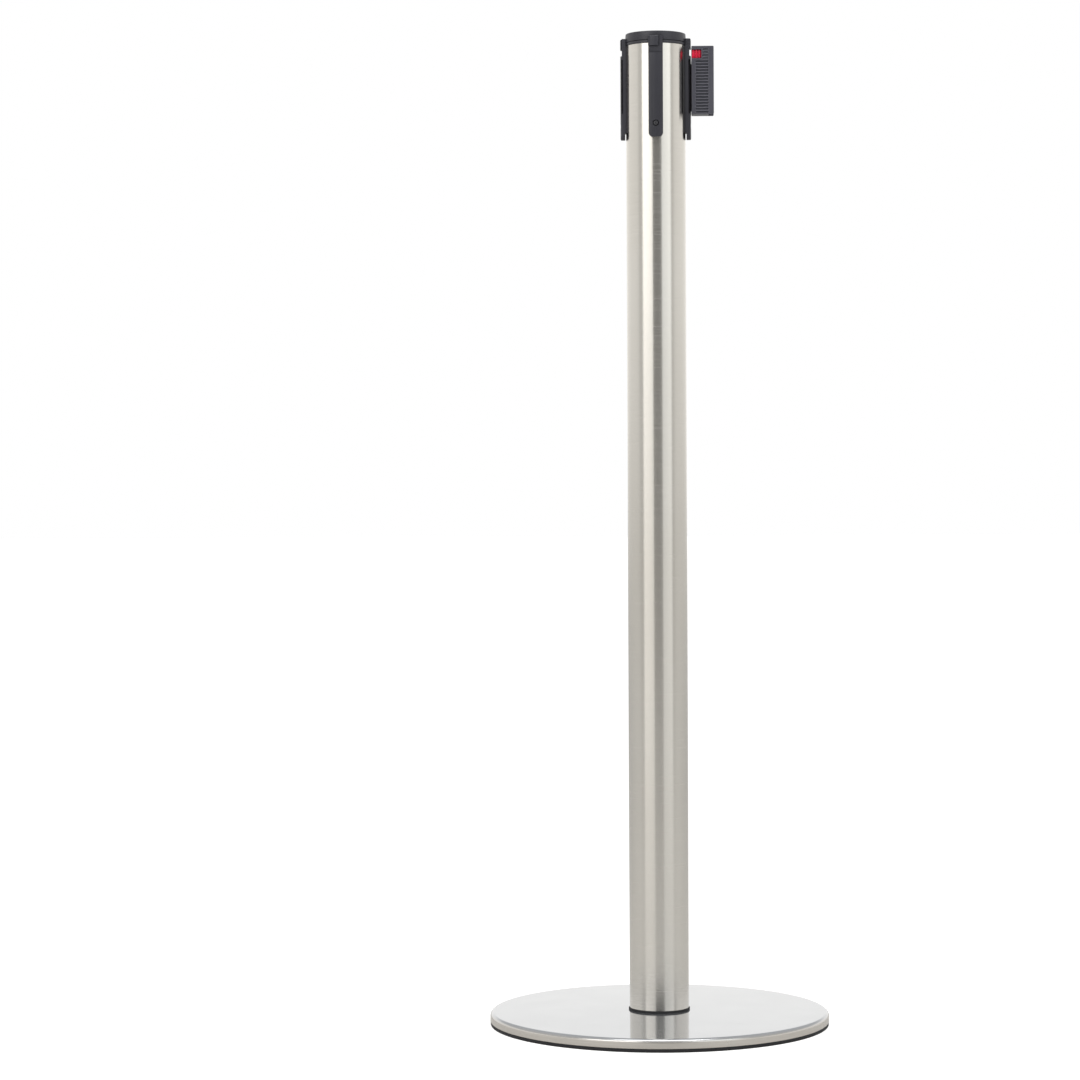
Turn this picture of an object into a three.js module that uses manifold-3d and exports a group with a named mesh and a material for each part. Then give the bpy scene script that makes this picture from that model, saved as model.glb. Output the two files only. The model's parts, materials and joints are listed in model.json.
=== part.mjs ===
// Retractable belt stanchion: round steel base, tubular post, head with four clip rails,
// belt cassette inside the tube, and the belt's end clip parked on the exit rail.
// Millimetres, +Z up, origin at floor level on the post's axis. The belt leaves along +X.
import * as THREE from 'three';
import { mergeVertices } from 'three/addons/utils/BufferGeometryUtils.js';
import Module from 'manifold-3d';

const wasm = await Module();
wasm.setup();

// ---------------------------------------------------------------- driving dimensions
const HEIGHT = 1050;
const GAP = 0.3;              // free gap between touching pieces
const RUN = 0.1;              // radial clearance of a running fit

const BASE = {
  r: 180, top: 13.7, crown: 1.3, seatR: 34, shoulder: 4.2, sheet: 1.2, rubber: 3.6, rubberIn: 166,
};
const SEAT = BASE.top + BASE.crown;   // flat seat for the tube; the dish falls slightly to its rim
const WEIGHT = { lift: 0.8, bore: 6.3, pocketR: 14, pocketTop: 7 };
const BOLT = { shank: 5.8, across: 18, headTop: 5, headBottom: 1.2, end: 54 };
const DOWEL = { r: 3, x: 18, bottom: 8.3, top: 35 };
const GASKET = { r: 32.5, inner: 12, height: 1.6 };
const PLUG = { height: 73, bore: 6.1, boreDepth: 44 };

const TUBE = { r: 31.5, wall: 2 };
const TUBE_IN = TUBE.r - TUBE.wall;
const TUBE_BOTTOM = SEAT + GAP + GASKET.height + GAP;
const CAP_DEPTH = 12.6;       // cap and collar standing above the tube
const TUBE_TOP = HEIGHT - CAP_DEPTH;
const CAP = { rTop: 31.8, rSkirt: 32.2, fillet: 0.8, skirtR: 28, skirt: 10, wall: 3, collarR: 32 };

const RAIL = { width: 15.2, face: 37.4, bottom: 938.4, top: 1044.8, cornerR: 4.6, overhang: 0.2 };
const NOTCH = { bottom: 1026.4, top: 1033.9, depth: 1.7, blockRight: 3 };
const GROOVE = { bottom: 965.8, top: 1022.7, lip: 1, width: 1.7, depth: 3 };
const SCREW = { z: 952.7, head: 3, shank: 1.9, seat: 2.2, headHigh: 1.7, tip: 24.5 };
const NUT = { r: 3.9, inner: 25 };

const BELT = { width: 50, mid: 993.4, t: 0.5, reach: 2000 };
const BELT_LOW = BELT.mid - BELT.width / 2;
const BELT_HIGH = BELT.mid + BELT.width / 2;
const SLOT = { half: 1.9, bottom: BELT_LOW - 1.5, top: BELT_HIGH + 1.5, tubeHalf: 3 };

const SPOOL = { x: -7, y: -3, hub: 8, flange: 21, flangeT: 1.2, arbor: 5, spindle: 2.5 };
const ROLL_R = Math.sqrt(SPOOL.hub ** 2 + (BELT.reach * BELT.t) / Math.PI);
const CUP = { bottom: 921.3, wall: 1.2, height: 20.7 };
const PLATE = { r: TUBE_IN - GAP, t: 3, low: 918, high: 1024 };
const PILLAR = { r: 2, ring: 26.7, angles: [55, 118, -55] };
const GUIDE = { r: 2, x: 21, y: 2.6 };

const CLIP = { x0: 37.9, x1: 61.4, z0: 964.4, z1: 1036.4, half: 10.2, corner: 1.2 };
const CHANNEL = { floor: 55.8, half: 8.2, jawIn: 4.9, jawLow: 967.5, jawHigh: 1020.5 };
const RIB = { count: 22, low: 966.6, high: 1032.65, cut: 1.6, depth: 0.9, x0: 42, x1: 55.9 };
const PIN = { x: 47.3, r: 2.2 };
const LOCK = { x0: 38.2, padEnd: 48.1, z0: 1023.5, z1: 1032.5, top: 8.7, bottom: 4.5, stroke: 3 };

// ---------------------------------------------------------------- geometry helpers
function solidOf(geometry) {
  const bare = geometry.clone();
  bare.deleteAttribute('normal');
  bare.deleteAttribute('uv');
  const merged = mergeVertices(bare, 1e-4);
  const mesh = new wasm.Mesh({
    numProp: 3,
    vertProperties: new Float32Array(merged.attributes.position.array),
    triVerts: new Uint32Array(merged.index.array),
  });
  return new wasm.Manifold(mesh);
}

function geometryOf(solid) {
  const mesh = solid.getMesh();
  const geometry = new THREE.BufferGeometry();
  geometry.setAttribute('position', new THREE.BufferAttribute(mesh.vertProperties, 3));
  geometry.setIndex(new THREE.BufferAttribute(mesh.triVerts, 1));
  geometry.computeVertexNormals();
  return geometry;
}

function cut(body, ...tools) {
  const left = tools.reduce((solid, tool) => solid.subtract(solidOf(tool)), solidOf(body));
  return geometryOf(left);
}

function join(body, ...others) {
  const sum = others.reduce((solid, other) => solid.add(solidOf(other)), solidOf(body));
  return geometryOf(sum);
}

// Revolves [radius, height] points, running up the outside, about the Z axis.
function turned(points, segments = 36) {
  const profile = points.map(([r, z]) => new THREE.Vector2(r, z));
  return new THREE.LatheGeometry(profile, segments).rotateX(Math.PI / 2);
}

function ringOf(inner, outer, low, high, segments = 36) {
  return turned([[inner, low], [outer, low], [outer, high], [inner, high], [inner, low]], segments);
}

function discOf(radius, low, high, segments = 36) {
  return turned([[0, low], [radius, low], [radius, high], [0, high]], segments);
}

function boxOf(x0, x1, y0, y1, z0, z1) {
  const box = new THREE.BoxGeometry(x1 - x0, y1 - y0, z1 - z0);
  return box.translate((x0 + x1) / 2, (y0 + y1) / 2, (z0 + z1) / 2);
}

// A rod along -Y, from radius `inner` out to radius `outer`, at height z.
function radialRod(radius, inner, outer, z, segments = 20) {
  return discOf(radius, inner, outer, segments).rotateX(Math.PI / 2).translate(0, 0, z);
}

function arcPoints(cx, cy, radius, fromDeg, toDeg, steps = 5) {
  return Array.from({ length: steps + 1 }, (_, i) => {
    const a = THREE.MathUtils.degToRad(fromDeg + ((toDeg - fromDeg) * i) / steps);
    return [cx + radius * Math.cos(a), cy + radius * Math.sin(a)];
  });
}

// Rectangle with its lower and upper corners rounded, as outline points.
function roundedOutline(x0, x1, y0, y1, lower, upper) {
  return [
    ...arcPoints(x1 - lower, y0 + lower, lower, -90, 0),
    ...arcPoints(x1 - upper, y1 - upper, upper, 0, 90),
    ...arcPoints(x0 + upper, y1 - upper, upper, 90, 180),
    ...arcPoints(x0 + lower, y0 + lower, lower, 180, 270),
  ];
}

function extruded(points, depth) {
  const shape = new THREE.Shape(points.map(([x, y]) => new THREE.Vector2(x, y)));
  return new THREE.ExtrudeGeometry(shape, { depth, bevelEnabled: false, curveSegments: 8 });
}

// Extrudes an X-Z outline along Y, from y0 to y1.
function slabXZ(points, y0, y1) {
  return extruded(points, y1 - y0).rotateX(Math.PI / 2).translate(0, y1, 0);
}

function material(color, roughness, metalness) {
  return new THREE.MeshStandardMaterial({ color, roughness, metalness });
}

const FINISH = {
  satinSteel: () => material(0xc9c8c2, 0.32, 1),
  plainSteel: () => material(0x9a9ca0, 0.45, 1),
  paintedSteel: () => material(0x3d3f42, 0.8, 0.6),
  rubber: () => material(0x17171a, 0.9, 0),
  blackPlastic: () => material(0x34343a, 0.5, 0),
  greyPlastic: () => material(0x6f7275, 0.6, 0),
  redPlastic: () => material(0xd8133a, 0.4, 0),
  webbing: () => material(0x1b1b1f, 0.95, 0),
  springSteel: () => material(0x55606e, 0.35, 1),
  brass: () => material(0xb8964c, 0.35, 1),
};

function part(name, geometry, finish) {
  const mesh = new THREE.Mesh(geometry, finish());
  mesh.name = name;
  return mesh;
}

function groupOf(...members) {
  const group = new THREE.Group();
  group.add(...members);
  return group;
}

// ---------------------------------------------------------------- base
function dowelHole(low, high) {
  return discOf(DOWEL.r + GAP, low, high, 24).translate(DOWEL.x, 0, 0);
}

function floorRing() {
  return part('floor_ring', ringOf(BASE.rubberIn, BASE.r - GAP, 0, BASE.rubber, 72), FINISH.rubber);
}

function baseWeight() {
  const step = BASE.rubberIn - GAP;
  const seat = BASE.rubber + GAP;
  const rim = BASE.r - BASE.sheet - GAP;
  const top = BASE.top - BASE.sheet - GAP;
  const disc = turned([
    [WEIGHT.bore, WEIGHT.pocketTop], [WEIGHT.pocketR, WEIGHT.pocketTop],
    [WEIGHT.pocketR, WEIGHT.lift], [step, WEIGHT.lift], [step, seat], [rim, seat],
    [rim, top - BASE.shoulder + BASE.sheet], [rim - BASE.shoulder + BASE.sheet, top],
    [BASE.seatR, top + BASE.crown], [WEIGHT.bore, top + BASE.crown], [WEIGHT.bore, WEIGHT.pocketTop],
  ], 60);
  return part('base_weight', cut(disc, dowelHole(8, SEAT)), FINISH.paintedSteel);
}

function baseCover() {
  const low = BASE.rubber + GAP;
  const bend = BASE.top - BASE.shoulder;
  const inR = BASE.shoulder - BASE.sheet;
  const dish = turned([
    [BASE.r, low],
    ...arcPoints(BASE.r - BASE.shoulder, bend, BASE.shoulder, 0, 90, 3),
    [BASE.seatR, SEAT], [WEIGHT.bore, SEAT],
    [WEIGHT.bore, SEAT - BASE.sheet], [BASE.seatR, SEAT - BASE.sheet],
    ...arcPoints(BASE.r - BASE.shoulder, bend, inR, 90, 0, 3),
    [BASE.r - BASE.sheet, low], [BASE.r, low],
  ], 72);
  return part('base_cover', cut(dish, dowelHole(0, HEIGHT)), FINISH.satinSteel);
}

function footGasket() {
  const low = SEAT + GAP;
  const ring = ringOf(GASKET.inner, GASKET.r, low, low + GASKET.height, 48);
  return part('foot_gasket', cut(ring, dowelHole(0, HEIGHT)), FINISH.rubber);
}

function anchorPlug() {
  const r = TUBE_IN - GAP;
  const top = TUBE_BOTTOM + PLUG.height;
  const boreTop = TUBE_BOTTOM + PLUG.boreDepth;
  const plug = turned([
    [0, boreTop], [PLUG.bore, boreTop], [PLUG.bore, TUBE_BOTTOM],
    [r, TUBE_BOTTOM], [r, top - 2], [r - 2, top], [0, top],
  ], 48);
  return part('anchor_plug', cut(plug, dowelHole(0, DOWEL.top + GAP)), FINISH.plainSteel);
}

function baseWasher() {
  const low = BOLT.headTop + GAP;
  return part('base_washer', ringOf(BOLT.shank + GAP, 12, low, WEIGHT.pocketTop - GAP), FINISH.plainSteel);
}

function baseBolt() {
  const head = discOf(BOLT.across / Math.sqrt(3), BOLT.headBottom, BOLT.headTop, 6);
  const shank = discOf(BOLT.shank, BOLT.headTop - 1, BOLT.end, 32);
  const socket = discOf(4.6, 0, BOLT.headBottom + 2.4, 6);
  return part('base_bolt', cut(join(head, shank), socket), FINISH.plainSteel);
}

function baseDowel() {
  const pin = discOf(DOWEL.r, DOWEL.bottom, DOWEL.top, 24);
  const mesh = part('base_dowel', pin, FINISH.plainSteel);
  mesh.position.x = DOWEL.x;
  return mesh;
}

// ---------------------------------------------------------------- post and cap
function postTube() {
  const tube = ringOf(TUBE_IN, TUBE.r, TUBE_BOTTOM, TUBE_TOP, 72);
  const slot = boxOf(TUBE_IN - 4, TUBE.r + 1, -SLOT.tubeHalf, SLOT.tubeHalf, SLOT.bottom, SLOT.top);
  const holes = [0, 90, 180, 270].map((deg) => {
    const hole = radialRod(NUT.r + GAP, TUBE_IN - 5, TUBE.r + 1, SCREW.z);
    return hole.rotateZ(THREE.MathUtils.degToRad(deg));
  });
  return part('post_tube', cut(tube, slot, ...holes), FINISH.satinSteel);
}

function capCollar() {
  const low = TUBE_TOP + GAP;
  const high = low + 2.7;
  const skirtLow = PLATE.high + PLATE.t + GAP;
  const inner = CAP.skirtR + GAP;
  const ring = turned([
    [inner, skirtLow], [TUBE_IN - GAP, skirtLow], [TUBE_IN - GAP, low], [CAP.collarR, low],
    [CAP.collarR, high], [inner, high], [inner, skirtLow],
  ], 48);
  return part('cap_collar', ring, FINISH.blackPlastic);
}

function cap() {
  const low = TUBE_TOP + GAP + 2.7 + GAP;
  const inner = CAP.skirtR - 2;
  const shell = turned([
    [0, HEIGHT - CAP.wall], [inner, HEIGHT - CAP.wall], [inner, low - CAP.skirt],
    [CAP.skirtR, low - CAP.skirt], [CAP.skirtR, low], [CAP.rSkirt, low],
    ...arcPoints(CAP.rTop - CAP.fillet, HEIGHT - CAP.fillet, CAP.fillet, 0, 90, 3),
    [0, HEIGHT],
  ], 48);
  return part('cap', shell, FINISH.blackPlastic);
}

// ---------------------------------------------------------------- clip rails (drawn facing -Y)
function railBody() {
  const { width, face, bottom, top, cornerR, overhang } = RAIL;
  const half = width / 2;
  const outline = roundedOutline(-half, half, bottom, top, cornerR, 1);
  const bar = slabXZ(outline, -face, -TUBE.r + 2);
  const hook = boxOf(-half - overhang, -half + 1, -face, -face + 3, NOTCH.top, top - 1);
  const reach = half + 1;
  const notchFloor = -face + NOTCH.depth;
  const grooveTop = -face + GROOVE.lip;
  const grooveIn = half - GROOVE.depth;
  const grooves = [[-reach, -grooveIn], [grooveIn, reach]].map(([x0, x1]) => (
    boxOf(x0, x1, grooveTop, grooveTop + GROOVE.width, GROOVE.bottom, GROOVE.top)
  ));
  return cut(
    join(bar, hook),
    discOf(TUBE.r + GAP, 0, HEIGHT + 5, 72),
    discOf(CAP.rSkirt + GAP + 0.1, TUBE_TOP - GAP, HEIGHT + 5, 48),
    boxOf(-reach, reach, -face - 1, notchFloor, NOTCH.bottom, NOTCH.top),
    boxOf(NOTCH.blockRight, reach, -face - 1, notchFloor, NOTCH.top - 1, top + 1),
    boxOf(-reach, reach, -TUBE.r - 1, 0, bottom - 1, bottom + 7),
    radialRod(SCREW.head + GAP, face - SCREW.seat, face + 1, SCREW.z),
    radialRod(SCREW.shank + GAP, 0, face + 1, SCREW.z),
    ...grooves,
  );
}

function exitRailBody() {
  const slot = boxOf(-SLOT.half, SLOT.half, -RAIL.face - 1, 0, SLOT.bottom, SLOT.top);
  return cut(railBody(), slot);
}

function railScrew(name) {
  const headLow = RAIL.face - SCREW.seat + GAP;
  const headHigh = headLow + SCREW.headHigh;
  const head = radialRod(SCREW.head, headLow, headHigh, SCREW.z);
  const shank = radialRod(SCREW.shank, SCREW.tip, headLow + 0.5, SCREW.z);
  const socket = radialRod(1.5, headHigh - 1.2, headHigh + 1, SCREW.z, 6);
  return part(name, cut(join(head, shank), socket), FINISH.blackPlastic);
}

function railNut(name) {
  const body = radialRod(NUT.r, NUT.inner, TUBE.r - GAP, SCREW.z);
  const bore = radialRod(SCREW.shank + GAP, 0, TUBE.r + 1, SCREW.z);
  return part(name, cut(body, bore), FINISH.brass);
}

function railSet(side, quarterTurns, body) {
  const set = groupOf(
    part(`rail_${side}`, body, FINISH.blackPlastic),
    railScrew(`rail_screw_${side}`),
    railNut(`rail_nut_${side}`),
  );
  set.rotation.z = (quarterTurns * Math.PI) / 2;
  return set;
}

// ---------------------------------------------------------------- belt cassette
function spoolPart() {
  const low = BELT_LOW - 0.6 - SPOOL.flangeT;
  const high = BELT_HIGH + 0.6;
  const bore = SPOOL.spindle + RUN;
  const reel = turned([
    [bore, CUP.bottom + 3.5], [SPOOL.arbor, CUP.bottom + 3.5], [SPOOL.arbor, low],
    [SPOOL.flange, low], [SPOOL.flange, low + SPOOL.flangeT], [SPOOL.hub, low + SPOOL.flangeT],
    [SPOOL.hub, high], [SPOOL.flange, high], [SPOOL.flange, high + SPOOL.flangeT],
    [bore, high + SPOOL.flangeT], [bore, CUP.bottom + 3.5],
  ]);
  return part('spool', reel, FINISH.greyPlastic);
}

function beltRoll() {
  return part('belt_roll', ringOf(SPOOL.hub + GAP, ROLL_R, BELT_LOW, BELT_HIGH), FINISH.webbing);
}

function spindle() {
  const rod = discOf(SPOOL.spindle, PLATE.low, PLATE.high + PLATE.t + 2);
  return part('spindle', rod, FINISH.plainSteel);
}

function retainingRing() {
  const low = PLATE.high + PLATE.t + GAP;
  return part('retaining_ring', ringOf(SPOOL.spindle + RUN, 5, low, low + 1), FINISH.springSteel);
}

function frictionWasher() {
  const low = BELT_HIGH + 0.6 + SPOOL.flangeT + GAP;
  return part('friction_washer', ringOf(SPOOL.spindle + RUN, 7, low, low + 1.2), FINISH.brass);
}

function springCup() {
  const low = CUP.bottom;
  const inner = SPOOL.flange - CUP.wall;
  const bore = SPOOL.spindle + GAP;
  const cup = turned([
    [bore, low], [SPOOL.flange, low], [SPOOL.flange, low + CUP.height],
    [inner, low + CUP.height], [inner, low + CUP.wall], [bore, low + CUP.wall], [bore, low],
  ]);
  return part('spring_cup', cup, FINISH.greyPlastic);
}

function springCover() {
  const low = CUP.bottom + CUP.height + GAP;
  return part('spring_cover', ringOf(SPOOL.arbor + GAP, SPOOL.flange, low, low + 1.2), FINISH.greyPlastic);
}

// Flat coil spring: an Archimedean ribbon between the arbor and the cup's wall.
function coilSpring() {
  const turns = 8;
  const steps = turns * 20;
  const start = SPOOL.arbor + 1;
  const end = SPOOL.flange - CUP.wall - 1.2;
  const half = 0.25;
  const along = (i, side) => {
    const r = start + ((end - start) * i) / steps + side * half;
    const a = (i / steps) * turns * 2 * Math.PI;
    return [r * Math.cos(a), r * Math.sin(a)];
  };
  const out = Array.from({ length: steps + 1 }, (_, i) => along(i, 1));
  const back = Array.from({ length: steps + 1 }, (_, i) => along(steps - i, -1));
  const ribbon = extruded([...out, ...back], CUP.height - 3).translate(0, 0, CUP.bottom + 2);
  return part('coil_spring', ribbon, FINISH.springSteel);
}

function cassettePlate(name, low) {
  const disc = discOf(PLATE.r, low, low + PLATE.t);
  const hole = discOf(SPOOL.spindle + RUN, low - 1, low + PLATE.t + 1);
  hole.translate(SPOOL.x, SPOOL.y, 0);
  return part(name, cut(disc, hole), FINISH.greyPlastic);
}

function cassetteSeat() {
  return part('cassette_seat', ringOf(24, PLATE.r, PLATE.low - 6, PLATE.low - GAP), FINISH.plainSteel);
}

function pillar(name, angleDeg) {
  const rod = discOf(PILLAR.r, PLATE.low + PLATE.t + GAP, PLATE.high - GAP, 20);
  const mesh = part(name, rod, FINISH.plainSteel);
  const a = THREE.MathUtils.degToRad(angleDeg);
  mesh.position.set(PILLAR.ring * Math.cos(a), PILLAR.ring * Math.sin(a), 0);
  return mesh;
}

function guidePin(name, side) {
  const rod = discOf(GUIDE.r, PLATE.low + PLATE.t + GAP, PLATE.high - GAP, 24);
  const mesh = part(name, rod, FINISH.plainSteel);
  mesh.position.set(GUIDE.x, side * GUIDE.y, 0);
  return mesh;
}

// Straight run of webbing from its tangent point on the roll to the gap between the guide pins.
function beltLead() {
  const end = new THREE.Vector2(GUIDE.x - 1.6, 0.4);
  const centre = new THREE.Vector2(SPOOL.x, SPOOL.y);
  const rollR = ROLL_R + GAP + BELT.t / 2;
  const toEnd = end.clone().sub(centre);
  const angle = toEnd.angle() + Math.acos(rollR / toEnd.length());
  const start = centre.clone().add(new THREE.Vector2(rollR, 0).rotateAround(new THREE.Vector2(), angle));
  const run = end.clone().sub(start);
  const strip = new THREE.BoxGeometry(run.length(), BELT.t, BELT.width);
  const mesh = part('belt_lead', strip, FINISH.webbing);
  mesh.position.set((start.x + end.x) / 2, (start.y + end.y) / 2, BELT.mid);
  mesh.rotation.z = run.angle();
  return mesh;
}

function cassette() {
  const onSpindle = groupOf(
    spoolPart(), beltRoll(), spindle(), retainingRing(), frictionWasher(),
    springCup(), springCover(), coilSpring(),
  );
  onSpindle.position.set(SPOOL.x, SPOOL.y, 0);
  return groupOf(
    onSpindle,
    cassettePlate('cassette_base', PLATE.low),
    cassettePlate('cassette_top', PLATE.high),
    cassetteSeat(),
    ...PILLAR.angles.map((angle, i) => pillar(`pillar_${i + 1}`, angle)),
    guidePin('guide_pin_back', 1),
    guidePin('guide_pin_front', -1),
    beltLead(),
  );
}

// ---------------------------------------------------------------- belt clip
function ribCuts(side) {
  const pitch = (RIB.high - RIB.low) / (RIB.count - 1);
  const y0 = side < 0 ? -CLIP.half - 1 : CLIP.half - RIB.depth;
  const y1 = side < 0 ? -CLIP.half + RIB.depth : CLIP.half + 1;
  return Array.from({ length: RIB.count }, (_, i) => {
    const z = RIB.low + i * pitch;
    const besideLock = side < 0 && z > LOCK.z0 - 1.5;
    const x0 = besideLock ? LOCK.padEnd + 1.2 : RIB.x0;
    return boxOf(x0, RIB.x1, y0, y1, z - RIB.cut / 2, z + RIB.cut / 2);
  });
}

function webbingCavity() {
  const eye = discOf(PIN.r + BELT.t + 2 * GAP + 0.2, SLOT.bottom, SLOT.top, 24).translate(PIN.x, 0, 0);
  const mouth = boxOf(CLIP.x0 - 2, PIN.x, -0.6, 0.6, SLOT.bottom, SLOT.top);
  return [eye, mouth];
}

function clipScrewAxis(radius, y0, y1, z, segments = 20) {
  return discOf(radius, y0, y1, segments).rotateX(-Math.PI / 2).translate(53.2, 0, z);
}

function clipScrewHeights() {
  return [BELT.mid - 18, BELT.mid + 18];
}

// Half of the housing on one side of the webbing's plane: grip, channel wall, jaw and nose.
function clipShell(side) {
  const inner = side * GAP / 2;
  const outer = side * CLIP.half;
  const span = (a, b) => [Math.min(a, b), Math.max(a, b)];
  const outline = roundedOutline(CLIP.x0, CLIP.x1, CLIP.z0, CLIP.z1, CLIP.corner, CLIP.corner);
  const block = slabXZ(outline, ...span(inner, outer));
  const channel = boxOf(
    CHANNEL.floor, CLIP.x1 + 1, ...span(side * -1, side * CHANNEL.half), CLIP.z0 - 1, CLIP.z1 + 1,
  );
  const lipX = CHANNEL.floor + GAP + GROOVE.lip + 0.2;
  const jaw = boxOf(
    lipX, lipX + GROOVE.width - 0.4, ...span(side * CHANNEL.jawIn, side * (CHANNEL.half + 1)),
    CHANNEL.jawLow, CHANNEL.jawHigh,
  );
  const nose = boxOf(
    CLIP.x0 - 0.2, CLIP.x0 + 1, ...span(inner, side * 3), SLOT.bottom - 1.4, SLOT.top + 1.3,
  );
  const shaped = cut(block, channel, ...webbingCavity(), ...ribCuts(side));
  return cut(join(shaped, jaw, nose), ...webbingCavity());
}

function lockPassage() {
  const z0 = LOCK.z0 - GAP;
  const z1 = LOCK.z1 + GAP;
  const window = boxOf(CLIP.x0 - 1, LOCK.padEnd + GAP, -CLIP.half - 1, -LOCK.bottom + GAP, z0, z1);
  const tunnel = boxOf(CLIP.x0 - 1, CHANNEL.floor + 1, -LOCK.top - 0.2, -LOCK.bottom + GAP, z0, z1);
  return [window, tunnel];
}

function clipShellFront() {
  const holes = clipScrewHeights().map((z) => clipScrewAxis(1.7, -6.5, 1, z));
  const shell = cut(clipShell(-1), ...lockPassage(), springPocket(), ...holes);
  return part('clip_shell_front', shell, FINISH.blackPlastic);
}

function clipShellBack() {
  const holes = clipScrewHeights().flatMap((z) => [
    clipScrewAxis(1.7, -1, CLIP.half + 1, z),
    clipScrewAxis(2.7, CLIP.half - 2.5, CLIP.half + 1, z),
  ]);
  return part('clip_shell_back', cut(clipShell(1), ...holes), FINISH.blackPlastic);
}

function clipScrew(name, z) {
  const head = clipScrewAxis(2.4, CLIP.half - 2.2, CLIP.half - 0.8, z);
  const shank = clipScrewAxis(1.4, -6.2, CLIP.half - 2, z);
  const socket = clipScrewAxis(1.1, CLIP.half - 1.6, CLIP.half, z, 6);
  return part(name, cut(join(head, shank), socket), FINISH.plainSteel);
}

function clampPin() {
  const mesh = part('clamp_pin', discOf(PIN.r, BELT_LOW, BELT_HIGH, 24), FINISH.plainSteel);
  mesh.position.x = PIN.x;
  return mesh;
}

// The webbing's end: a straight strip sewn round the clamp pin as an eye.
function beltTail() {
  const eye = ringOf(PIN.r + GAP, PIN.r + GAP + BELT.t, BELT_LOW, BELT_HIGH, 24);
  eye.translate(PIN.x, 0, 0);
  const strip = boxOf(
    GUIDE.x - 0.7, PIN.x - PIN.r - GAP - 0.1, -BELT.t / 2, BELT.t / 2, BELT_LOW, BELT_HIGH,
  );
  return part('belt_tail', join(strip, eye), FINISH.webbing);
}

// Thumb slide with three upright grip ridges; its tongue points at the channel.
function lockSlider() {
  const { x0, padEnd, z0, z1, top, bottom, stroke } = LOCK;
  const crest = 0.8;
  const body = boxOf(x0, CHANNEL.floor - GAP, -top + crest, -bottom, z0, z1);
  const ridgePitch = (padEnd - x0) / 3;
  const ridges = [0, 1, 2].map((i) => {
    const left = x0 + i * ridgePitch;
    return boxOf(left + 0.1, left + ridgePitch * 0.62, -top, -top + crest + 1, z0, z1);
  });
  const tongueLow = boxOf(
    CHANNEL.floor - stroke - 1, CHANNEL.floor, -top - 1, 0, z0 - 1, NOTCH.bottom + 0.4,
  );
  return part('lock_slider', cut(join(body, ...ridges), tongueLow), FINISH.redPlastic);
}

function lockSpring() {
  const leaf = boxOf(41, 52, -3.9, -3.5, LOCK.z0 + 2, LOCK.z1 - 2);
  return part('lock_spring', leaf, FINISH.springSteel);
}

function springPocket() {
  return boxOf(40.6, 52.4, -LOCK.bottom - 0.1, -3.1, LOCK.z0 + 1.6, LOCK.z1 - 1.6);
}

function beltClip() {
  return groupOf(
    clipShellFront(), clipShellBack(), clampPin(), beltTail(), lockSlider(), lockSpring(),
    ...clipScrewHeights().map((z, i) => clipScrew(`clip_screw_${i + 1}`, z)),
  );
}

// ---------------------------------------------------------------- whole post
const stanchion = groupOf(
  groupOf(
    floorRing(), baseWeight(), baseCover(), footGasket(),
    anchorPlug(), baseWasher(), baseBolt(), baseDowel(),
  ),
  groupOf(postTube(), capCollar(), cap()),
  railSet('front', 0, railBody()),
  railSet('exit', 1, exitRailBody()),
  railSet('back', 2, railBody()),
  railSet('left', 3, railBody()),
  cassette(),
  beltClip(),
);
stanchion.name = 'belt_stanchion';

export default stanchion;
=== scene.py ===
"""Retractable belt stanchion: the looks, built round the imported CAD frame.

Everything is in metres in the CAD's frame: +Z up, the belt leaves along +X, the camera stands on -Y.
"""
import json
import math

import bmesh
import bpy
from mathutils import Matrix, Vector


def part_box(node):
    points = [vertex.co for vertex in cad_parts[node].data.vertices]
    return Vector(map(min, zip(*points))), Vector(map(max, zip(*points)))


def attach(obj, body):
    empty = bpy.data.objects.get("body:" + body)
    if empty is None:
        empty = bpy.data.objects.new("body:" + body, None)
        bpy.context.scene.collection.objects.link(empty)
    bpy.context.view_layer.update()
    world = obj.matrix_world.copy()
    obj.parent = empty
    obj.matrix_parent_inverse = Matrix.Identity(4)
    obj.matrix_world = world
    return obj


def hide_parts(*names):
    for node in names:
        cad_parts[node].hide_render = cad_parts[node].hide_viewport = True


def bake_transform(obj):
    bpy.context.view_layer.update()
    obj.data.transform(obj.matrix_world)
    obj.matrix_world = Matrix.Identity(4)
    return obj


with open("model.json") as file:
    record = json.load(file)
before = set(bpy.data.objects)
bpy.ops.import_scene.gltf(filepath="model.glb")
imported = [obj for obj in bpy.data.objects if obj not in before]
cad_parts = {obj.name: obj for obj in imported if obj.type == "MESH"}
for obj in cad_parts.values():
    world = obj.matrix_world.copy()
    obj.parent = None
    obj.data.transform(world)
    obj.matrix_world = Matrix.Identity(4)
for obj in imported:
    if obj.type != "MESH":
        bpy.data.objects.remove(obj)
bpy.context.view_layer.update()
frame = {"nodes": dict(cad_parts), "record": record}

MM = 0.001


# ---------------------------------------------------------------- sizes from the frame
def corners(node):
    """The lowest and highest corners of a CAD node at rest."""
    low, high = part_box(node)
    return Vector(low), Vector(high)


TUBE_LOW, TUBE_HIGH = corners("post_tube")
COVER_HIGH = corners("base_cover")[1]
RUBBER_HIGH = corners("floor_ring")[1]
GASKET_HIGH = corners("foot_gasket")[1]
CAP_LOW, CAP_HIGH = corners("cap")
COLLAR_LOW, COLLAR_HIGH = corners("cap_collar")
RAIL_LOW, RAIL_HIGH = corners("rail_front")
SCREW_LOW, SCREW_HIGH = corners("rail_screw_front")
SHELL_LOW, SHELL_HIGH = corners("clip_shell_front")
LOCK_LOW, LOCK_HIGH = corners("lock_slider")
TAIL_LOW, TAIL_HIGH = corners("belt_tail")
PIN_LOW, PIN_HIGH = corners("clamp_pin")
GUIDE_LOW, GUIDE_HIGH = corners("guide_pin_back")
ROLL_LOW, ROLL_HIGH = corners("belt_roll")

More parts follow.
